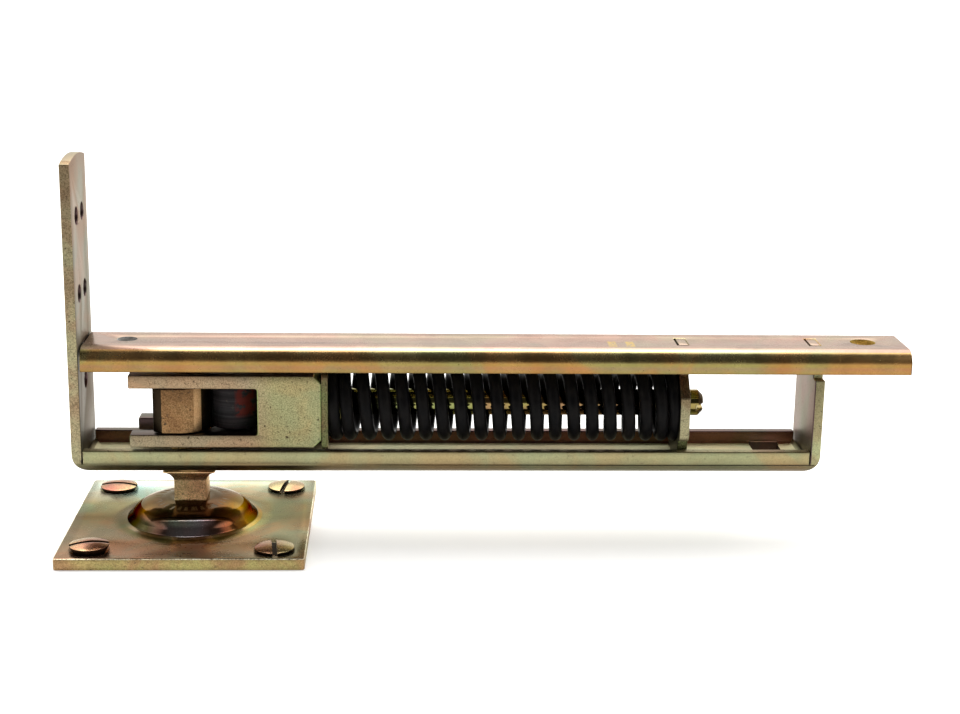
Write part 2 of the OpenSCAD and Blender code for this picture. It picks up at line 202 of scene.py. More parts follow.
def noise(tree, scale, detail=3.0, rough=0.55, stretch=None, distortion=0.0):
    """Noise over the piece's own coordinates, stretched along an axis if asked."""
    place = own_place(tree)
    if stretch:
        turn = tree.nodes.new("ShaderNodeMapping")
        turn.inputs["Scale"].default_value = stretch
        wire(tree, place, turn.inputs["Vector"])
        place = turn.outputs["Vector"]
    grain = tree.nodes.new("ShaderNodeTexNoise")
    grain.inputs["Scale"].default_value = scale
    grain.inputs["Detail"].default_value = detail
    grain.inputs["Roughness"].default_value = rough
    grain.inputs["Distortion"].default_value = distortion
    wire(tree, place, grain.inputs["Vector"])
    return grain.outputs["Fac"]


def ramp(tree, source, stops):
    """The colour that the source picks out of the stops, each a place and a colour."""
    node = tree.nodes.new("ShaderNodeValToRGB")
    wire(tree, source, node.inputs["Fac"])
    band = node.color_ramp
    while len(band.elements) < len(stops):
        band.elements.new(0.5)
    for element, (place, colour) in zip(band.elements, stops):
        element.position = place
        element.color = (*colour, 1.0)
    return node.outputs["Color"]


def fade(tree, source, *stops):
    """A grey or a mask that runs through the stops, each a place and a level."""
    return ramp(tree, source, [(place, (level, level, level)) for place, level in stops])


def mix(tree, factor, a, b, mode="MIX"):
    node = tree.nodes.new("ShaderNodeMix")
    node.data_type = "RGBA"
    node.blend_type = mode
    feed(tree, (factor, a, b), (node.inputs[0], node.inputs[6], node.inputs[7]))
    return node.outputs[2]


def maths(tree, operation, *values):
    node = tree.nodes.new("ShaderNodeMath")
    node.operation = operation
    feed(tree, values, node.inputs)
    return node.outputs[0]


def film_group():
    """Passivated zinc: a film whose tint wanders, with fine plating grain and pits."""
    group = new_group("passivated film", [
        ("Base", "NodeSocketColor", (0.6, 0.55, 0.4, 1)),
        ("Warm", "NodeSocketColor", (0.7, 0.45, 0.4, 1)),
        ("Cool", "NodeSocketColor", (0.45, 0.6, 0.5, 1)),
        ("Drift", "NodeSocketFloat", 0.5),
        ("Pits", "NodeSocketFloat", 0.3),
        ("Dull", "NodeSocketFloat", 0.3),
        ("Grit", "NodeSocketFloat", 0.1),
    ], [("Color", "NodeSocketColor"), ("Roughness", "NodeSocketFloat"), ("Height", "NodeSocketFloat")])
    given, out = group.nodes["in"].outputs, group.nodes["out"].inputs
    clouds = noise(group, 38, detail=3, distortion=1.2)
    swirl = noise(group, 90, detail=4, distortion=0.6)
    pits = noise(group, 900, detail=3, rough=0.6)
    grain = noise(group, 1400, detail=2)
    speck = noise(group, 2600, detail=2, rough=0.7)

    warm = maths(group, "MULTIPLY", fade(group, clouds, (0.45, 0), (0.62, 1)), given["Drift"])
    cool = maths(group, "MULTIPLY", fade(group, clouds, (0.36, 1), (0.5, 0)), given["Drift"])
    shade = mix(group, warm, given["Base"], given["Warm"])
    shade = mix(group, cool, shade, given["Cool"])
    veil = fade(group, swirl, (0.3, 0.86), (0.7, 1.1))
    shade = mix(group, 1.0, shade, veil, "MULTIPLY")
    sand = fade(group, speck, (0.35, 0.25), (0.5, 0.95), (0.65, 1.6))
    shade = mix(group, given["Grit"], shade, mix(group, 1.0, shade, sand, "MULTIPLY"))
    pitted = maths(group, "MULTIPLY", fade(group, pits, (0.29, 1), (0.38, 0)), given["Pits"])
    wire(group, mix(group, pitted, shade, (0.12, 0.09, 0.06)), out["Color"])

    rough = maths(group, "ADD", maths(group, "MULTIPLY_ADD", swirl, 0.18, -0.09), given["Dull"])
    wire(group, maths(group, "ADD", rough, maths(group, "MULTIPLY", pitted, 0.3)), out["Roughness"])
    relief = maths(group, "ADD", maths(group, "MULTIPLY", grain, 0.35), maths(group, "MULTIPLY", swirl, 0.5))
    wire(group, maths(group, "SUBTRACT", relief, pitted), out["Height"])
    return group


FILM = film_group()


def shader_of(finish):
    return finish.node_tree.nodes["Principled BSDF"]


def film_of(finish):
    return next(node for node in finish.node_tree.nodes if node.type == "GROUP")


def new_finish(name):
    finish = bpy.data.materials.new(name)
    finish.use_nodes = True
    return finish


def plated(name, base, warm, cool, drift=0.5, pits=0.25, dull=0.3, bump=0.25, metal=1.0, grit=0.1,
           glance=(0.95, 0.93, 0.88)):
    """A passivated steel finish made from the shared film. glance tints what it mirrors at a low angle."""
    finish = new_finish(name)
    tree = finish.node_tree
    shader = shader_of(finish)
    shader.inputs["Metallic"].default_value = metal
    shader.inputs["Specular Tint"].default_value = (*glance, 1)
    film = tree.nodes.new("ShaderNodeGroup")
    film.node_tree = FILM
    for label, colour in (("Base", base), ("Warm", warm), ("Cool", cool)):
        film.inputs[label].default_value = (*colour, 1)
    for label, value in (("Drift", drift), ("Pits", pits), ("Dull", dull), ("Grit", grit)):
        film.inputs[label].default_value = value
    wire(tree, film.outputs["Color"], shader.inputs["Base Color"])
    wire(tree, film.outputs["Roughness"], shader.inputs["Roughness"])
    relief = tree.nodes.new("ShaderNodeBump")
    relief.inputs["Strength"].default_value = bump
    relief.inputs["Distance"].default_value = 0.05 * MM
    wire(tree, film.outputs["Height"], relief.inputs["Height"])
    wire(tree, relief.outputs["Normal"], shader.inputs["Normal"])
    return finish


def share(tree, length, start, end):
    """How far a length has come, from 0 at start to 1 at end, in millimetres."""
    span = tree.nodes.new("ShaderNodeMapRange")
    wire(tree, length, span.inputs["Value"])
    span.inputs["From Min"].default_value = start * MM
    span.inputs["From Max"].default_value = end * MM
    return span.outputs["Result"]


def reach(tree, axis, start, end):
    """How far along an axis a point lies, from 0 at start to 1 at end."""
    split = tree.nodes.new("ShaderNodeSeparateXYZ")
    wire(tree, own_place(tree), split.inputs["Vector"])
    return share(tree, split.outputs[axis], start, end)


def from_axis(tree, start, end):
    """How far from the pivot's axis a point lies, from 0 at start to 1 at end."""
    flat = tree.nodes.new("ShaderNodeVectorMath")
    flat.operation = "MULTIPLY"
    wire(tree, own_place(tree), flat.inputs[0])
    flat.inputs[1].default_value = (1, 1, 0)
    length = tree.nodes.new("ShaderNodeVectorMath")
    length.operation = "LENGTH"
    wire(tree, flat.outputs[0], length.inputs[0])
    return share(tree, length.outputs["Value"], start, end)


def overlap(tree, *masks):
    """Where all the masks are on."""
    joint = masks[0]
    for mask in masks[1:]:
        joint = maths(tree, "MULTIPLY", joint, mask)
    return joint


# How far each tint of the film turns from its own colour
FILM_LIFTS = (("Base", 1.0), ("Warm", 0.8), ("Cool", 1.18))


def tilted(colour, lift):
    """The same tint turned towards red (below one) or green (above one)."""
    red, green, blue = colour
    return (red * (2 - lift), green * lift ** 0.5, blue * lift)


def tinted(tree, along, stops, lift):
    """A row of tints along a length, all tilted alike."""
    return ramp(tree, along, [(place, tilted(colour, lift)) for place, colour in stops])


def banded(name, axis, start, end, stops, **values):
    """Plating whose tint shifts in steps along the piece."""
    first = stops[0][1]
    made = plated(name, first, first, first, **values)
    tree = made.node_tree
    along = reach(tree, axis, start, end)
    for label, lift in FILM_LIFTS:
        wire(tree, tinted(tree, along, stops, lift), film_of(made).inputs[label])
    return made


# ------------------------------------------------------------------ finishes

frame_zinc = plated("frame_zinc", (0.32, 0.285, 0.165), (0.34, 0.25, 0.17), (0.26, 0.31, 0.19),
                    drift=0.7, pits=0.4, dull=0.32, bump=0.35, grit=0.15)
# Inner faces of the upright ends and the end plate, with painted shade: darker low down, under the rail
inner_zinc_painted_shade = banded("inner_zinc_painted_shade", "Z", 25, 115,
                    [(0.0, (0.08, 0.065, 0.04)), (0.28, (0.062, 0.046, 0.028)), (0.42, (0.16, 0.13, 0.092)),
                     (0.8, (0.235, 0.195, 0.15))], drift=0.7, pits=0.35, dull=0.46, bump=0.4)
# The fold under the front flange, with painted shade: darker towards the bottom, where it faces the shaded
# floor
bend_zinc_painted_shade = banded("bend_zinc_painted_shade", "Z", 21.8, 25.2,
                   [(0.0, (0.10, 0.08, 0.042)), (0.5, (0.16, 0.132, 0.068)), (1.0, (0.235, 0.20, 0.108))],
                   drift=0.6, pits=0.3, dull=0.42, bump=0.3)
# The strap's floor between its flanges, made light and dull as painted light for the brightness it reflects
# under the rail
strap_floor_painted_light = plated("strap_floor_painted_light", (0.66, 0.61, 0.36), (0.66, 0.52, 0.32), (0.60, 0.64, 0.40),
                     drift=0.5, pits=0.4, dull=0.5, bump=0.5, metal=0.1)
strap_shade = plated("strap_shade", (0.30, 0.165, 0.11), (0.34, 0.155, 0.12), (0.23, 0.155, 0.09),
                     drift=0.6, pits=0.3, dull=0.6, bump=0.4)
# Walls of the holes in the rail's web, made dull and light so that they show lit: painted light, pale at the
# pivot end and gold at the free end
hole_pale_painted_light = plated("hole_pale_painted_light", (0.52, 0.51, 0.50), (0.46, 0.42, 0.40), (0.52, 0.54, 0.54),
                   dull=0.5, metal=0.0, grit=0.3)
hole_gold_painted_light = plated("hole_gold_painted_light", (0.50, 0.30, 0.06), (0.30, 0.14, 0.04), (0.60, 0.46, 0.12),
                   drift=1.0, dull=0.4, metal=0.4, grit=0.7, bump=0.6)
# The outer face of the strap's front flange, with painted shading: darker towards the bottom, lighter near
# the top
flange_zinc_painted_shading = banded("flange_zinc_painted_shading", "Z", 21, 29,
                     [(0.45, (0.24, 0.205, 0.11)), (0.65, (0.27, 0.24, 0.125)), (0.92, (0.38, 0.35, 0.19))],
                     drift=0.45, pits=0.4, dull=0.32, bump=0.35, grit=0.15)
tab_edge = plated("tab_edge", (0.32, 0.30, 0.16), (0.24, 0.19, 0.11), (0.33, 0.37, 0.21),
                  drift=0.7, pits=0.8, dull=0.45, bump=0.9, grit=0.3)
# A darker copy of the inner zinc for the tab's inner face, as painted shade
tab_inner_painted_shade = plated("tab_inner_painted_shade", (0.155, 0.118, 0.088), (0.17, 0.105, 0.085), (0.13, 0.13, 0.085),
                   drift=0.9, pits=0.4, dull=0.42, bump=0.4, grit=0.2)
abutment_edge = plated("abutment_edge", (0.28, 0.225, 0.13), (0.20, 0.14, 0.08), (0.32, 0.30, 0.18),
                       drift=0.8, pits=0.9, dull=0.5, bump=1.0, grit=0.5)
# Near-black painted shade in the screw slots and under their heads, on the walls of the strap's opening and
# on the rail's free end
dark_painted_shade = plated("dark_painted_shade", (0.035, 0.02, 0.012), (0.05, 0.025, 0.015), (0.03, 0.025, 0.015),
                    drift=0.6, dull=0.6, bump=0.3)
# The rail's front: its own pink and gold streaks, with painted shade at the bottom edge and painted light
# lifting the dark reflected band and the highlight near the bend
rail_zinc = banded("rail_zinc", "Z", 52, 60,
                   [(0.06, (0.19, 0.12, 0.045)), (0.16, (0.26, 0.175, 0.06)), (0.30, (0.265, 0.16, 0.075)),
                    (0.42, (0.28, 0.20, 0.06)), (0.56, (0.46, 0.31, 0.12)), (0.9, (0.50, 0.38, 0.18))],
                   drift=0.8, pits=0.2, dull=0.25, bump=0.2, grit=0.12)
sheared_edge = plated("sheared_edge", (0.34, 0.275, 0.165), (0.26, 0.17, 0.10), (0.36, 0.34, 0.20),
                      drift=0.8, pits=1.0, dull=0.5, bump=1.4, grit=0.5)
yoke_zinc = plated("yoke_zinc", (0.30, 0.33, 0.135), (0.34, 0.30, 0.15), (0.26, 0.35, 0.14),
                   drift=0.8, pits=0.95, dull=0.52, bump=1.0, grit=0.34)
yoke_rim = banded("yoke_rim", "X", 18, 26, [(0.0, (0.33, 0.25, 0.155)), (1.0, (0.305, 0.280, 0.142))],
                  drift=0.45, pits=1.0, dull=0.5, bump=1.2, grit=0.45)
# Light arrises of the yoke: worn edges, with a painted highlight along them
arris_wear_and_highlight = plated("arris_wear_and_highlight", (0.72, 0.66, 0.46), (0.50, 0.36, 0.24), (0.80, 0.78, 0.55),
                    drift=1.0, pits=1.0, dull=0.4, bump=1.0, grit=0.8)
yoke_shade = plated("yoke_shade", (0.08, 0.055, 0.055), (0.11, 0.06, 0.06), (0.07, 0.07, 0.055),
                    drift=0.6, pits=0.4, dull=0.35, bump=0.4)
# Dark edges of the spring seat and of the end plate's top and foot: painted shade, with their own speckle
edge_painted_shade = plated("edge_painted_shade", (0.14, 0.11, 0.055), (0.17, 0.08, 0.045), (0.13, 0.14, 0.06),
                   drift=1.0, pits=1.0, dull=0.5, bump=1.2, grit=0.9)
cam_bronze = plated("cam_bronze", (0.25, 0.14, 0.062), (0.18, 0.095, 0.045), (0.30, 0.19, 0.09),
                    drift=0.8, pits=0.9, dull=0.5, bump=1.8, grit=0.6)
# A lighter chamfer facet on the cam, as a painted highlight
cam_facet_painted_highlight = plated("cam_facet_painted_highlight", (0.37, 0.22, 0.105), (0.29, 0.18, 0.085), (0.37, 0.265, 0.14),
                  drift=0.5, pits=0.4, dull=0.4, bump=0.8, grit=0.3)
# Near-black flanks of the cam on either side of its front, as painted shade
cam_flank_painted_shade = plated("cam_flank_painted_shade", (0.023, 0.016, 0.009), (0.036, 0.023, 0.013), (0.018, 0.016, 0.011),
                   drift=0.5, pits=0.3, dull=0.35, bump=0.3)
spindle_steel = plated("spindle_steel", (0.78, 0.50, 0.25), (0.58, 0.30, 0.16), (0.80, 0.60, 0.30),
                       drift=0.8, pits=0.7, dull=0.42, bump=1.0, grit=0.5)
screw_zinc = plated("screw_zinc", (0.46, 0.28, 0.15), (0.34, 0.13, 0.09), (0.52, 0.44, 0.22),
                    drift=1.0, pits=0.5, dull=0.24, bump=0.5, grit=0.35)
rod_zinc = plated("rod_zinc", (0.24, 0.21, 0.06), (0.25, 0.13, 0.075), (0.19, 0.23, 0.09),
                  drift=0.8, dull=0.07, bump=0.05)
rod_nose = plated("rod_nose", (0.10, 0.065, 0.03), (0.075, 0.04, 0.02), (0.14, 0.11, 0.05),
                  dull=0.35, grit=0.4)
bush_bronze = plated("bush_bronze", (0.40, 0.24, 0.10), (0.34, 0.18, 0.08), (0.40, 0.30, 0.14), dull=0.35)
plate_edge = plated("plate_edge", (0.36, 0.24, 0.105), (0.34, 0.19, 0.10), (0.38, 0.34, 0.13),
                    drift=0.9, pits=0.7, dull=0.4, bump=0.8, grit=0.4)
# A bright line along the floor plate's upper edge, as a painted highlight
plate_arris_painted_highlight = plated("plate_arris_painted_highlight", (0.85, 0.76, 0.55), (0.30, 0.20, 0.12), (0.90, 0.85, 0.60),
                     drift=1.0, pits=1.0, dull=0.3, bump=1.0, grit=0.9)


def rail_top_finish():
    """Pinkish plating on the web, made lighter than the flange as painted light on its up-facing faces, with
    two small rubbed patches of gold.
    """
    made = plated("rail_top_tint_and_painted_light", (0.40, 0.29, 0.235), (0.41, 0.26, 0.215), (0.37, 0.315, 0.23),
                  drift=0.8, pits=0.15, dull=0.26, bump=0.15, glance=(1.0, 0.94, 0.90))
    tree = made.node_tree
    colour_in = shader_of(made).inputs["Base Color"]
    colour = colour_in.links[0].from_socket
    worn = fade(tree, noise(tree, 900, detail=3), (0.4, 0), (0.5, 1))
    half = 1.5
    for middle in (126.9, 132.3):
        patch = overlap(tree, reach(tree, "X", middle - half, middle - half + 0.5),
                        reach(tree, "X", middle + half, middle + half - 0.5),
                        reach(tree, "Y", -7.6, -7.0), reach(tree, "Y", -0.5, -1.5), worn)
        colour = mix(tree, patch, colour, (0.62, 0.44, 0.10))
    wire(tree, colour, colour_in)
    return made


# Tints of the flat of the floor plate, from its front to its back: the film's own colour, with painted shade
# under the strap and painted reflection that lightens it towards the back
PLATE_RIGHT_TINT_AND_SHADING = ((0.0, (0.34, 0.25, 0.16)), (0.3, (0.25, 0.20, 0.12)), (0.5, (0.13, 0.11, 0.05)),
               (0.68, (0.19, 0.165, 0.075)), (0.95, (0.53, 0.50, 0.36)))
PLATE_LEFT_TINT_AND_SHADING = ((0.0, (0.36, 0.20, 0.13)), (0.3, (0.22, 0.14, 0.09)), (0.5, (0.09, 0.075, 0.03)),
              (0.68, (0.25, 0.27, 0.15)), (0.95, (0.74, 0.92, 0.85)))

# Tints of the rings of its dome, from left to right: the film's amber and plum, with painted reflections,
# highlights and shade
# The crown: dark in the middle as a painted reflection of the strap's underside
CROWN_TINT_AND_REFLECTION = ((0.08, (0.09, 0.08, 0.045)), (0.17, (0.17, 0.10, 0.032)), (0.27, (0.07, 0.038, 0.018)),
         (0.70, (0.06, 0.03, 0.018)), (0.82, (0.21, 0.085, 0.01)), (0.92, (0.30, 0.20, 0.06)))
# A near-white streak on the dome's shoulder, as a painted highlight
SHOULDER_PAINTED_HIGHLIGHT = ((0.30, (0.10, 0.06, 0.04)), (0.42, (0.95, 0.92, 0.70)), (0.62, (1.0, 0.70, 0.72)),
                   (0.72, (0.12, 0.05, 0.02)))
# The dome's wall: plum at the front, nearly black at the left as a painted dark reflection
DOME_WALL_TINT_AND_REFLECTION = ((0.0, (0.06, 0.055, 0.03)), (0.20, (0.05, 0.045, 0.02)), (0.32, (0.16, 0.10, 0.08)),
             (0.40, (0.50, 0.38, 0.36)), (0.60, (0.60, 0.42, 0.44)), (0.68, (0.22, 0.13, 0.10)),
             (0.78, (0.26, 0.10, 0.05)), (0.92, (0.24, 0.10, 0.01)), (1.0, (0.14, 0.11, 0.02)))
# A light ring along the dome's foot, as a painted highlight
DOME_FOOT_PAINTED_HIGHLIGHT = ((0.0, (0.08, 0.07, 0.03)), (0.3, (0.34, 0.24, 0.20)), (0.7, (0.40, 0.29, 0.24)),
             (1.0, (0.34, 0.20, 0.035)))
# The ring beyond the dome's foot, dark at the front, as painted shade in place of the fillet's shading
DOME_SKIRT_PAINTED_SHADE = ((0.0, (0.07, 0.065, 0.03)), (0.4, (0.13, 0.09, 0.04)), (0.8, (0.16, 0.12, 0.04)),
              (1.0, (0.24, 0.20, 0.08)))


def plate_finish(name, glance):
    """Plating on the pressed floor plate: greenish at the back, amber and plum on its dome, with painted
    shade under the strap and painted reflections and highlights on the dome.
    """
    made = plated(name, (0.3, 0.25, 0.15), (0.3, 0.2, 0.12), (0.3, 0.3, 0.2),
                  drift=0.9, pits=0.3, bump=0.25, grit=0.2, glance=glance)
    tree = made.node_tree
    film = film_of(made)
    depth = reach(tree, "Y", -36, 36)
    across = reach(tree, "X", -20, 20)
    on_left = reach(tree, "X", 12, -16)
    radius = from_axis(tree, 0, 30)
    on_wall = fade(tree, radius, (0.52, 0), (0.58, 1))
    on_shoulder_highlight = fade(tree, radius, (0.53, 0), (0.555, 1), (0.575, 1), (0.60, 0))
    on_foot_highlight = fade(tree, radius, (0.655, 0), (0.67, 1), (0.70, 1), (0.72, 0))
    on_skirt_shade = fade(tree, radius, (0.695, 0), (0.715, 1))
    on_dome = fade(tree, radius, (0.74, 1), (0.82, 0))
    for label, lift in FILM_LIFTS:
        flat = mix(tree, on_left, tinted(tree, depth, PLATE_RIGHT_TINT_AND_SHADING, lift),
                   tinted(tree, depth, PLATE_LEFT_TINT_AND_SHADING, lift))
        wall = mix(tree, on_shoulder_highlight, tinted(tree, across, DOME_WALL_TINT_AND_REFLECTION, lift),
                   tinted(tree, across, SHOULDER_PAINTED_HIGHLIGHT, lift))
        dome = mix(tree, on_wall, tinted(tree, across, CROWN_TINT_AND_REFLECTION, lift), wall)
        dome = mix(tree, on_foot_highlight, dome, tinted(tree, across, DOME_FOOT_PAINTED_HIGHLIGHT, lift))
        dome = mix(tree, on_skirt_shade, dome, tinted(tree, across, DOME_SKIRT_PAINTED_SHADE, lift))
        wire(tree, mix(tree, on_dome, flat, dome), film.inputs[label])
    wire(tree, fade(tree, radius, (0.66, 0.12), (0.80, 0.27)), film.inputs["Dull"])
    return made


def roller_finish():
    """Hardened dark steel with turning lines and a worn patch of marking paint."""
    made = plated("roller_steel", (0.022, 0.020, 0.021), (0.028, 0.02, 0.02), (0.019, 0.021, 0.023),
                  dull=0.6, bump=0.3, metal=0.5, glance=(0.3, 0.3, 0.32))
    tree = made.node_tree
    colour_in = shader_of(made).inputs["Base Color"]
    lines = fade(tree, noise(tree, 700, detail=3, stretch=(0.05, 0.05, 1.6)), (0.38, 0.55), (0.62, 1.4))
    colour = mix(tree, 1.0, colour_in.links[0].from_socket, lines, "MULTIPLY")
    kept = fade(tree, noise(tree, 420, detail=4), (0.40, 0), (0.50, 1))
    patch = overlap(tree, reach(tree, "Z", 37.0, 38.5), reach(tree, "Z", 46.8, 45.6),
                    reach(tree, "X", 13.8, 15.0), reach(tree, "X", 20.4, 19.4),
                    reach(tree, "Y", 0, -1), kept)
    wire(tree, mix(tree, maths(tree, "MULTIPLY", patch, 0.85), colour, (0.095, 0.013, 0.008)), colour_in)
    return made


def lacquer():
    """Gloss black stoving on the spring, with a faint orange peel."""
    finish = new_finish("spring_black")
    tree = finish.node_tree
    shader = shader_of(finish)
    shader.inputs["Metallic"].default_value = 0.0
    shader.inputs["Specular IOR Level"].default_value = 0.045
    dust = noise(tree, 260, detail=4)
    tone = ramp(tree, dust, [(0.35, (0.003, 0.003, 0.0035)), (0.7, (0.009, 0.008, 0.0075))])
    wire(tree, tone, shader.inputs["Base Color"])
    wire(tree, fade(tree, dust, (0.3, 0.3), (0.75, 0.5)), shader.inputs["Roughness"])
    return finish


rail_top_tint_and_painted_light = rail_top_finish()
floor_zinc = plate_finish("floor_zinc", (0.80, 0.76, 0.66))
# the dome's faces get a copy whose low-angle reflections are tinted dark, as painted shade in its
# reflections
dome_zinc_shaded_glance = plate_finish("dome_zinc_shaded_glance", (0.30, 0.24, 0.16))
roller_steel = roller_finish()
spring_black = lacquer()

# -------------------------------------------------------------------- pieces

# A face is square to an axis when its normal lies this far along it
SQUARE = 0.9

# Heights that tell the faces of the frame apart, in millimetres
FOLD_TOP = 26
FLANGE_TOP = 28.5
WEB_TOP = 59

# Outer faces of the upright ends, the free end and the floor plate, in millimetres
low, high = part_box("lower_channel")
edge_x, tab_x = low.x / MM, high.x / MM
rail_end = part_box("upper_channel")[1].x / MM
plate_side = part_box("floor_plate")[1].x / MM


def turned_ring(outline):
    """A ring turned about the spindle axis from the outline of its half section, in mm."""
    piece = drawn_line([(radius, 0, height) for radius, height in outline], closed=True)
    turn_to_mesh(piece)
    turn = piece.modifiers.new("turn", "SCREW")
    turn.axis = "Z"
    turn.angle = 2 * math.pi
    turn.steps = turn.render_steps = 96
    turn.use_merge_vertices = True
    turn.merge_threshold = 1e-6
    apply_all(piece)
    close_up(piece)
    return piece


def arc(middle, radius, start, end, steps):
    """Points of an arc whose angles are measured from the vertical, in degrees."""
    turns = [math.radians(start + (end - start) * k / steps) for k in range(steps + 1)]
    return [(middle[0] + radius * math.sin(a), middle[1] + radius * math.cos(a)) for a in turns]


def full_shoulder(piece):
    """Fill out the shoulder of the pressed dome, so that its wall stands steeper."""
    crown = [(9.3, 10.03), (10.5, 9.82), (12.0, 9.56), (13.4, 9.29)]
    shoulder = arc((12.9, 3.1), 6.0, 14, 66, 14)
    foot = arc((20.70, 5.14), 1.25, 246, 200, 6)
    inside = [(20.3, 2.0), (18.0, 2.5), (14.5, 6.8), (9.0, 8.0)]
    ring = turned_ring(crown + shoulder + foot + inside)
    joint = piece.modifiers.new("joint", "BOOLEAN")
    joint.operation = "UNION"
    joint.solver = "EXACT"
    joint.object = ring
    apply_all(piece)
    join_flats(piece)
    pick(ring)
    bpy.ops.object.delete()


def on_front_flange(centre, normal):
    """The outer face of the strap along the front."""
    return normal.y < -SQUARE and centre.z < FLANGE_TOP


def in_front_fold(centre, normal):
    """The rounded fold below the front flange."""
    return normal.y < -0.05 and normal.z < -0.25 and centre.z < FOLD_TOP


def on_strap_floor(centre, normal):
    return normal.z > 0.8 and 24.0 < centre.z < 25.5 and abs(centre.y) < 9


def in_strap_ends(centre, normal):
    """The faces of the upright ends that look into the frame."""
    on_plate = centre.x < edge_x + 3.4 and normal.x > SQUARE
    on_tab = centre.x > tab_x - 3.4 and normal.x < -SQUARE
    return centre.z > 27 and (on_plate or on_tab)


def on_upright_side(centre, normal):
    """The sheared sides of the upright ends."""
    return (centre.x < edge_x + 3.5 or centre.x > tab_x - 3.5) and abs(normal.y) > SQUARE


def on_flange_top(centre, normal):
    return normal.z > SQUARE and centre.z > FLANGE_TOP - 0.3 and abs(centre.y) > 9


def on_back_wall(centre, normal):
    """The inner side of the strap's back flange."""
    between = edge_x + 4 < centre.x < tab_x - 4
    return between and centre.y > 6 and normal.y < -0.3 and centre.z > 24.6


def on_back_rim(centre, normal):
    return centre.y > 9 and normal.z > 0.3 and centre.z > FLANGE_TOP - 0.6


def on_tenon_top(centre, normal):
    return normal.z > 0.5 and centre.z > WEB_TOP and centre.x > 100


def in_opening(centre, normal):
    """The walls of the punched opening in the strap's floor."""
    across_hole = 172.4 < centre.x < 182.2 and 0 < centre.y < 9.8
    return across_hole and abs(normal.z) < SQUARE and centre.z < 24.5


def in_crease(centre, normal):
    """The rounded arris between a strap end's inner face and its front edge, where a line of painted shade
    goes.
    """
    at_tab = centre.x > tab_x - 3.6 and -0.95 < normal.x < -0.2
    at_plate = centre.x < edge_x + 3.6 and 0.2 < normal.x < 0.95 and centre.z < 58
    return (at_tab or at_plate) and centre.z > 24.5 and normal.y < -0.2


def in_edge_hole(centre, normal):
    """The walls of the holes in the upright plate."""
    return centre.x < edge_x + 3.2 and abs(normal.x) < SQUARE and abs(centre.y) < 8 and 44 < centre.z < 102


def folded_strap():
    """The strap and its finishes, painted shade and painted light among them, where a later finish covers an
    earlier one.
    """
    piece = make("lower_channel", "folded_strap", "frame", frame_zinc, clamp=False)
    # painted shading on the front flange
    paint(piece, flange_zinc_painted_shading, on_front_flange)
    # painted shade on the fold under the front flange
    paint(piece, bend_zinc_painted_shade, in_front_fold)
    # painted light on the strap's floor
    paint(piece, strap_floor_painted_light, on_strap_floor)
    # painted shade low on the inner faces of the upright ends
    paint(piece, inner_zinc_painted_shade, in_strap_ends)
    # painted shade on the tab's inner face
    paint(piece, tab_inner_painted_shade, lambda c, n: in_strap_ends(c, n) and c.x > 0)
    paint(piece, sheared_edge, lambda c, n: on_upright_side(c, n) or on_flange_top(c, n))
    paint(piece, tab_edge, lambda c, n: on_upright_side(c, n) and c.x > 0)
    paint(piece, strap_shade, on_back_wall)
    # painted light on the up-facing tops of the tenons
    paint(piece, rail_top_tint_and_painted_light, on_tenon_top)
    paint(piece, yoke_shade, on_back_rim)
    # painted shade on the walls of the strap's opening
    paint(piece, dark_painted_shade, in_opening)
    paint(piece, yoke_shade, lambda c, n: in_crease(c, n) or in_edge_hole(c, n))


def in_web(centre, normal):
    """Upright faces in the thickness of the web near its middle line, such as the walls of its holes."""
    return abs(normal.z) < 0.5 and 56.9 < centre.z < 59.7 and abs(centre.y) < 5.5


def top_rail():
    # the rail's front carries painted shade and painted highlight in its bands
    piece = make("upper_channel", "top_rail", "frame", rail_zinc, clamp=False)
    # painted light on the faces of the web that look up
    paint(piece, rail_top_tint_and_painted_light, lambda c, n: n.z > 0.75 and c.z > WEB_TOP)
    paint(piece, sheared_edge, lambda c, n: abs(n.x) > SQUARE or (n.z < -SQUARE and c.z < 52.9))
    # painted light on the walls of the rail's holes
    paint(piece, hole_pale_painted_light, lambda c, n: in_web(c, n) and c.x < 12)
    paint(piece, hole_gold_painted_light, lambda c, n: in_web(c, n) and 190 < c.x < 214)
    # painted shade on the rail's free end
    paint(piece, dark_painted_shade, lambda c, n: n.x > 0.2 and n.z < 0.5 and c.x > rail_end - 0.5)


def abutment():
    # the end plate's faces carry painted shade, darker low down under the rail
    piece = make("end_plate", "abutment", "frame", inner_zinc_painted_shade, 0.4)
    paint(piece, abutment_edge, lambda c, n: abs(n.x) < 0.5)
    # painted shade on the end plate's edges at its top and foot
    paint(piece, edge_painted_shade, lambda c, n: abs(n.x) < 0.5 and (c.z > 46 or c.z < 31.4))
    # painted light on the up-facing top of the tenon
    paint(piece, rail_top_tint_and_painted_light, on_tenon_top)


def in_hollow(centre, normal):
    """The inner faces of the fork, which only see the dark of the frame."""
    return abs(normal.z) > SQUARE or (abs(centre.y) < 11.5 and normal.y < -0.5)


def forked_yoke():
    piece = make("yoke", "forked_yoke", "fork", yoke_zinc, 0.35, clamp=False)
    paint(piece, yoke_rim, lambda c, n: c.x < 21 and c.y < -11 and n.y < -0.5)
    # worn edges with a painted highlight on the yoke's arrises
    paint(piece, arris_wear_and_highlight, lambda c, n: 23 < c.x < 38.5 and max(abs(v) for v in n) < 0.95)
    paint(piece, yoke_shade, in_hollow)


def seat_plate():
    piece = make("spring_seat", "seat_plate", "seat", frame_zinc)
    # painted shade on the seat plate's edges
    paint(piece, edge_painted_shade, lambda c, n: abs(n.x) < SQUARE)


def slotted_rod():
    piece = make("tension_rod", "rod", "adjuster", rod_zinc)
    paint(piece, rod_nose, lambda c, n: c.x > 150 and abs(n.z) < 0.93)


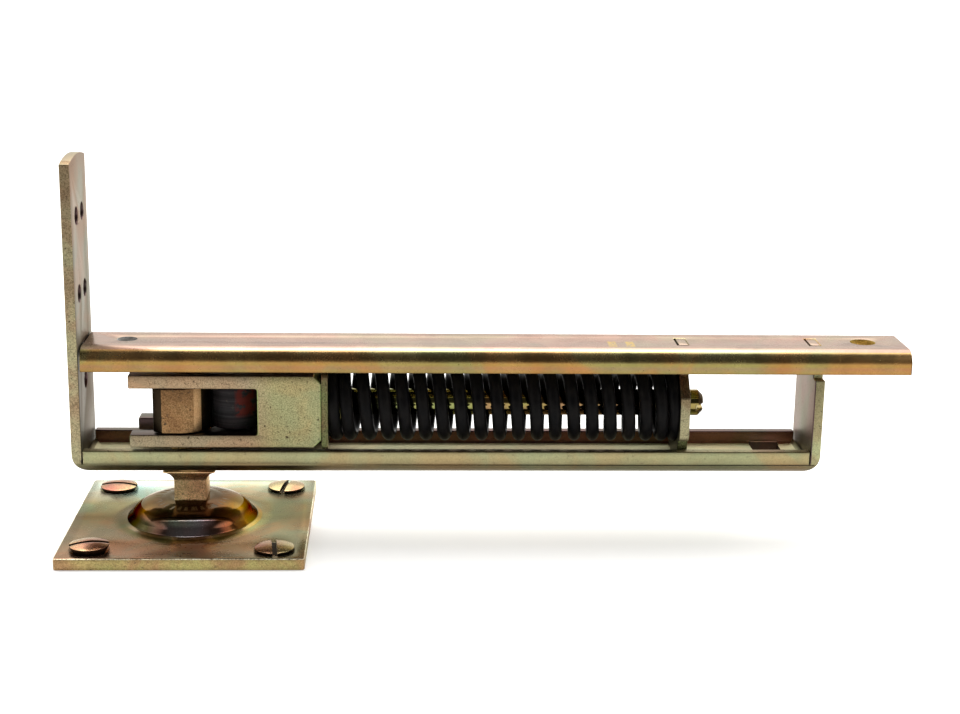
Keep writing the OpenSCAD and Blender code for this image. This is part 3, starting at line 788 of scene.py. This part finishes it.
def from_rim(centre):
    """How far in from the edge of the floor plate a face lies."""
    return plate_side - max(abs(centre.x), abs(centre.y))


def base_plate():
    piece = make("floor_plate", "base_plate", "floor_mount", floor_zinc, 0.55, full_shoulder)
    paint(piece, plate_edge, lambda c, n: abs(n.z) < 0.5 and from_rim(c) < 1)
    # painted highlight along the plate's upper edge
    paint(piece, plate_arris_painted_highlight, lambda c, n: 0.3 < n.z < 0.98 and from_rim(c) < 0.7)
    # painted shade in the reflections of the dome's sloping faces
    paint(piece, dome_zinc_shaded_glance, lambda c, n: 0 < n.z < SQUARE and c.z > 3.6 and math.hypot(c.x, c.y) < 20.6)


def wood_screws():
    piece = make("floor_screws", "wood_screws", "floor_mount", screw_zinc, 0.15)
    # painted shade in the slots and under the heads
    paint(piece, dark_painted_shade, lambda c, n: c.z > 1 and (n.z < 0.25 or n.z > 0.9995))


def cam_block():
    piece = make("cam", "cam_block", "floor_mount", cam_bronze)
    # painted highlight on the cam's chamfer facet
    paint(piece, cam_facet_painted_highlight, lambda c, n: 2.6 < c.x < 4.6 and abs(n.z) < 0.5)
    # painted shade on the cam's flanks
    paint(piece, cam_flank_painted_shade, lambda c, n: (c.x > 4.6 or c.x < -7.0) and abs(n.z) < 0.5)


folded_strap()
top_rail()
abutment()
make("pivot_cup", "cup", "frame", frame_zinc)
make("lower_bush", "flanged_bush", "frame", bush_bronze, 0.15)
make("top_bush", "plain_bush", "frame", bush_bronze, 0.15)
forked_yoke()
make("roller_pin", "pin", "fork", roller_steel)
make("roller", "cam_roller", "roller", roller_steel, 0.5)
seat_plate()
make("tension_nut", "nut", "seat", rod_zinc, 0.4)
slotted_rod()
base_plate()
wood_screws()
make("spindle", "square_spindle", "floor_mount", spindle_steel, clamp=False)
make("spindle_washer", "washer", "floor_mount", floor_zinc, 0.2)
cam_block()


# -------------------------------------------------------------------- spring

WIRE_D = 3.96
# From the outside of the solid spring to the middle of the wire
COIL_INSET = 2.03
# From the seat to the middle of the wire at turn 0
FIRST_CENTRE = 1.45
# Between a ground end and what it bears on
GROUND_GAP = 0.03

# Lengths of wire are counted in turns, and turn 0 is where the first coil crosses the front
FIRST_TURN = -0.8
CUT_TURN = 9.5
LAST_TURN = 19.7
STEPS_PER_TURN = 44

# Distances along the frame from one crossing of the front to the next
PITCHES = (4.02, 5.64, 5.75, 5.66, 5.66, 5.56, 5.78, 5.48, 5.58, 5.69,
           5.70, 5.50, 5.71, 5.61, 5.42, 5.66, 5.25, 4.80, 4.02)


def coil_stations(first, pitches):
    """Where the wire's centre lies along the frame after so many turns, eased from turn to turn."""
    lead = 2
    stops = [first - pitches[0] * (lead - k) for k in range(lead)] + [first]
    for pitch in (*pitches, pitches[-1], pitches[-1]):
        stops.append(stops[-1] + pitch)

    def place(t):
        k = math.floor(t) + lead
        u = t - math.floor(t)
        a, b, c, d = stops[k - 1:k + 3]
        slope_b, slope_c = (c - a) / 2, (d - b) / 2
        return ((2 * u ** 3 - 3 * u ** 2 + 1) * b + (u ** 3 - 2 * u ** 2 + u) * slope_b
                + (3 * u ** 2 - 2 * u ** 3) * c + (u ** 3 - u ** 2) * slope_c)

    return place


def wound_wire(name, place, t0, t1, coil_r, axis_z):
    """A length of the helix from turn t0 to turn t1, as a round wire."""
    steps = round((t1 - t0) * STEPS_PER_TURN)
    points = []
    for k in range(steps + 1):
        t = t0 + (t1 - t0) * k / steps
        turn = 2 * math.pi * t
        points.append((place(t), -coil_r * math.cos(turn), axis_z - coil_r * math.sin(turn)))
    piece = drawn_line(points)
    piece.name = name
    shape = piece.data
    shape.twist_mode = "MINIMUM"
    shape.bevel_depth = WIRE_D / 2 * MM
    shape.bevel_resolution = 6
    shape.use_fill_caps = True
    turn_to_mesh(piece)
    close_up(piece)
    piece.data.materials.clear()
    piece.data.materials.append(spring_black)
    return piece


def grind(piece, face_x, outward):
    """Grind an end coil flat where it bears on its seat."""
    edit_all(piece)
    bpy.ops.mesh.bisect(plane_co=(face_x * MM, 0, 0), plane_no=(outward, 0, 0),
                        use_fill=True, clear_outer=True)
    bpy.ops.mesh.select_all(action="SELECT")
    bpy.ops.mesh.normals_make_consistent(inside=False)
    bpy.ops.object.mode_set(mode="OBJECT")
    piece.data.validate()
    smooth(piece, 50)


def wind_spring():
    """Wind the spring in two halves, which close up on either side of the cut."""
    low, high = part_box("spring")
    seat_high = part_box("spring_seat")[1]
    abut_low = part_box("end_plate")[0]
    seat_x, abut_x = seat_high.x / MM, abut_low.x / MM
    coil_r = (high.y - low.y) / MM / 2 - COIL_INSET
    axis_z = (high.z + low.z) / MM / 2
    place = coil_stations(seat_x + FIRST_CENTRE, PITCHES)
    near = wound_wire("spring_fork_half", place, FIRST_TURN, CUT_TURN, coil_r, axis_z)
    far = wound_wire("spring_fixed_half", place, CUT_TURN, LAST_TURN, coil_r, axis_z)
    grind(near, seat_x + GROUND_GAP, -1)
    grind(far, abut_x - GROUND_GAP, 1)
    cut = place(CUT_TURN) * MM
    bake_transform(near)
    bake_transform(far)
    for piece in (near, far):
        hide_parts("spring")


wind_spring()


# -------------------------------------------------------------------- studio

def pale_floor():
    bpy.ops.mesh.primitive_plane_add(size=14, location=(0, 2, 0))
    ground = bpy.context.object
    ground.name = "pale_floor"
    paper = new_finish("pale_paper")
    sheet = shader_of(paper)
    sheet.inputs["Base Color"].default_value = (0.85, 0.85, 0.85, 1)
    sheet.inputs["Roughness"].default_value = 1.0
    sheet.inputs["Specular IOR Level"].default_value = 0.0
    sheet.inputs["Emission Color"].default_value = (1, 1, 1, 1)
    sheet.inputs["Emission Strength"].default_value = 0.45
    ground.data.materials.append(paper)


def room():
    """A room that is dark on the camera's side and bright behind the object."""
    world = bpy.data.worlds.new("room")
    bpy.context.scene.world = world
    world.use_nodes = True
    tree = world.node_tree
    split = tree.nodes.new("ShaderNodeSeparateXYZ")
    wire(tree, tree.nodes.new("ShaderNodeTexCoord").outputs["Generated"], split.inputs["Vector"])
    height = split.outputs["Z"]
    dark = ramp(tree, height, [(0.0, (0.9, 0.9, 0.9)), (0.05, (0.55, 0.52, 0.48)),
                               (0.14, (0.11, 0.10, 0.085)), (0.28, (0.045, 0.04, 0.035)),
                               (0.97, (0.07, 0.065, 0.06))])
    # the bright side is a pale wall with a large soft light over it
    pale = ramp(tree, height, [(0.0, (1.06, 1.04, 1.0)), (0.38, (1.08, 1.05, 1.0)),
                               (0.5, (2.3, 2.25, 2.1)), (0.62, (2.8, 2.75, 2.6)),
                               (0.86, (2.8, 2.75, 2.6)), (0.93, (2.0, 2.0, 1.9)),
                               (0.97, (1.0, 1.0, 1.0))])
    depth = maths(tree, "MULTIPLY_ADD", split.outputs["Y"], 0.5, 0.5)
    behind = fade(tree, depth, (0.475, 0), (0.575, 1))
    flank = fade(tree, maths(tree, "ABSOLUTE", split.outputs["X"]), (0.6, 0), (0.85, 0.7))
    bright = maths(tree, "MAXIMUM", behind, flank)
    back = tree.nodes["Background"]
    wire(tree, mix(tree, bright, dark, pale), back.inputs["Color"])
    back.inputs["Strength"].default_value = 1.0


def softbox():
    bpy.ops.object.light_add(type="AREA", location=(0.1, 0.25, 0.9), rotation=(math.radians(-16), 0, 0))
    lamp = bpy.context.object
    lamp.name = "overhead_softbox"
    lamp.data.shape = "RECTANGLE"
    lamp.data.size = 0.9
    lamp.data.size_y = 0.5
    lamp.data.energy = 5


def camera():
    """A long lens that looks down on the front of the frame, with a slight roll."""
    eye = bpy.data.objects.new("camera", bpy.data.cameras.new("camera"))
    bpy.context.scene.collection.objects.link(eye)
    stand = Vector((63.05, -507.2, 184.2)) * MM
    pitch, yaw, roll = math.radians(14.32), math.radians(-2.75), math.radians(0.92)
    ahead = Vector((-math.sin(yaw) * math.cos(pitch), math.cos(yaw) * math.cos(pitch), -math.sin(pitch)))
    level = Vector((math.cos(yaw), math.sin(yaw), 0))
    upright = level.cross(ahead)
    right = level * math.cos(roll) + upright * math.sin(roll)
    above = upright * math.cos(roll) - level * math.sin(roll)
    turn = Matrix((right, above, -ahead)).transposed()
    eye.matrix_world = Matrix.Translation(stand) @ turn.to_4x4()
    eye.data.sensor_width = 36
    eye.data.lens = 65.03
    eye.data.clip_start = 0.01
    bpy.context.scene.camera = eye


pale_floor()
room()
softbox()
camera()
bpy.context.scene.view_settings.view_transform = "Standard"
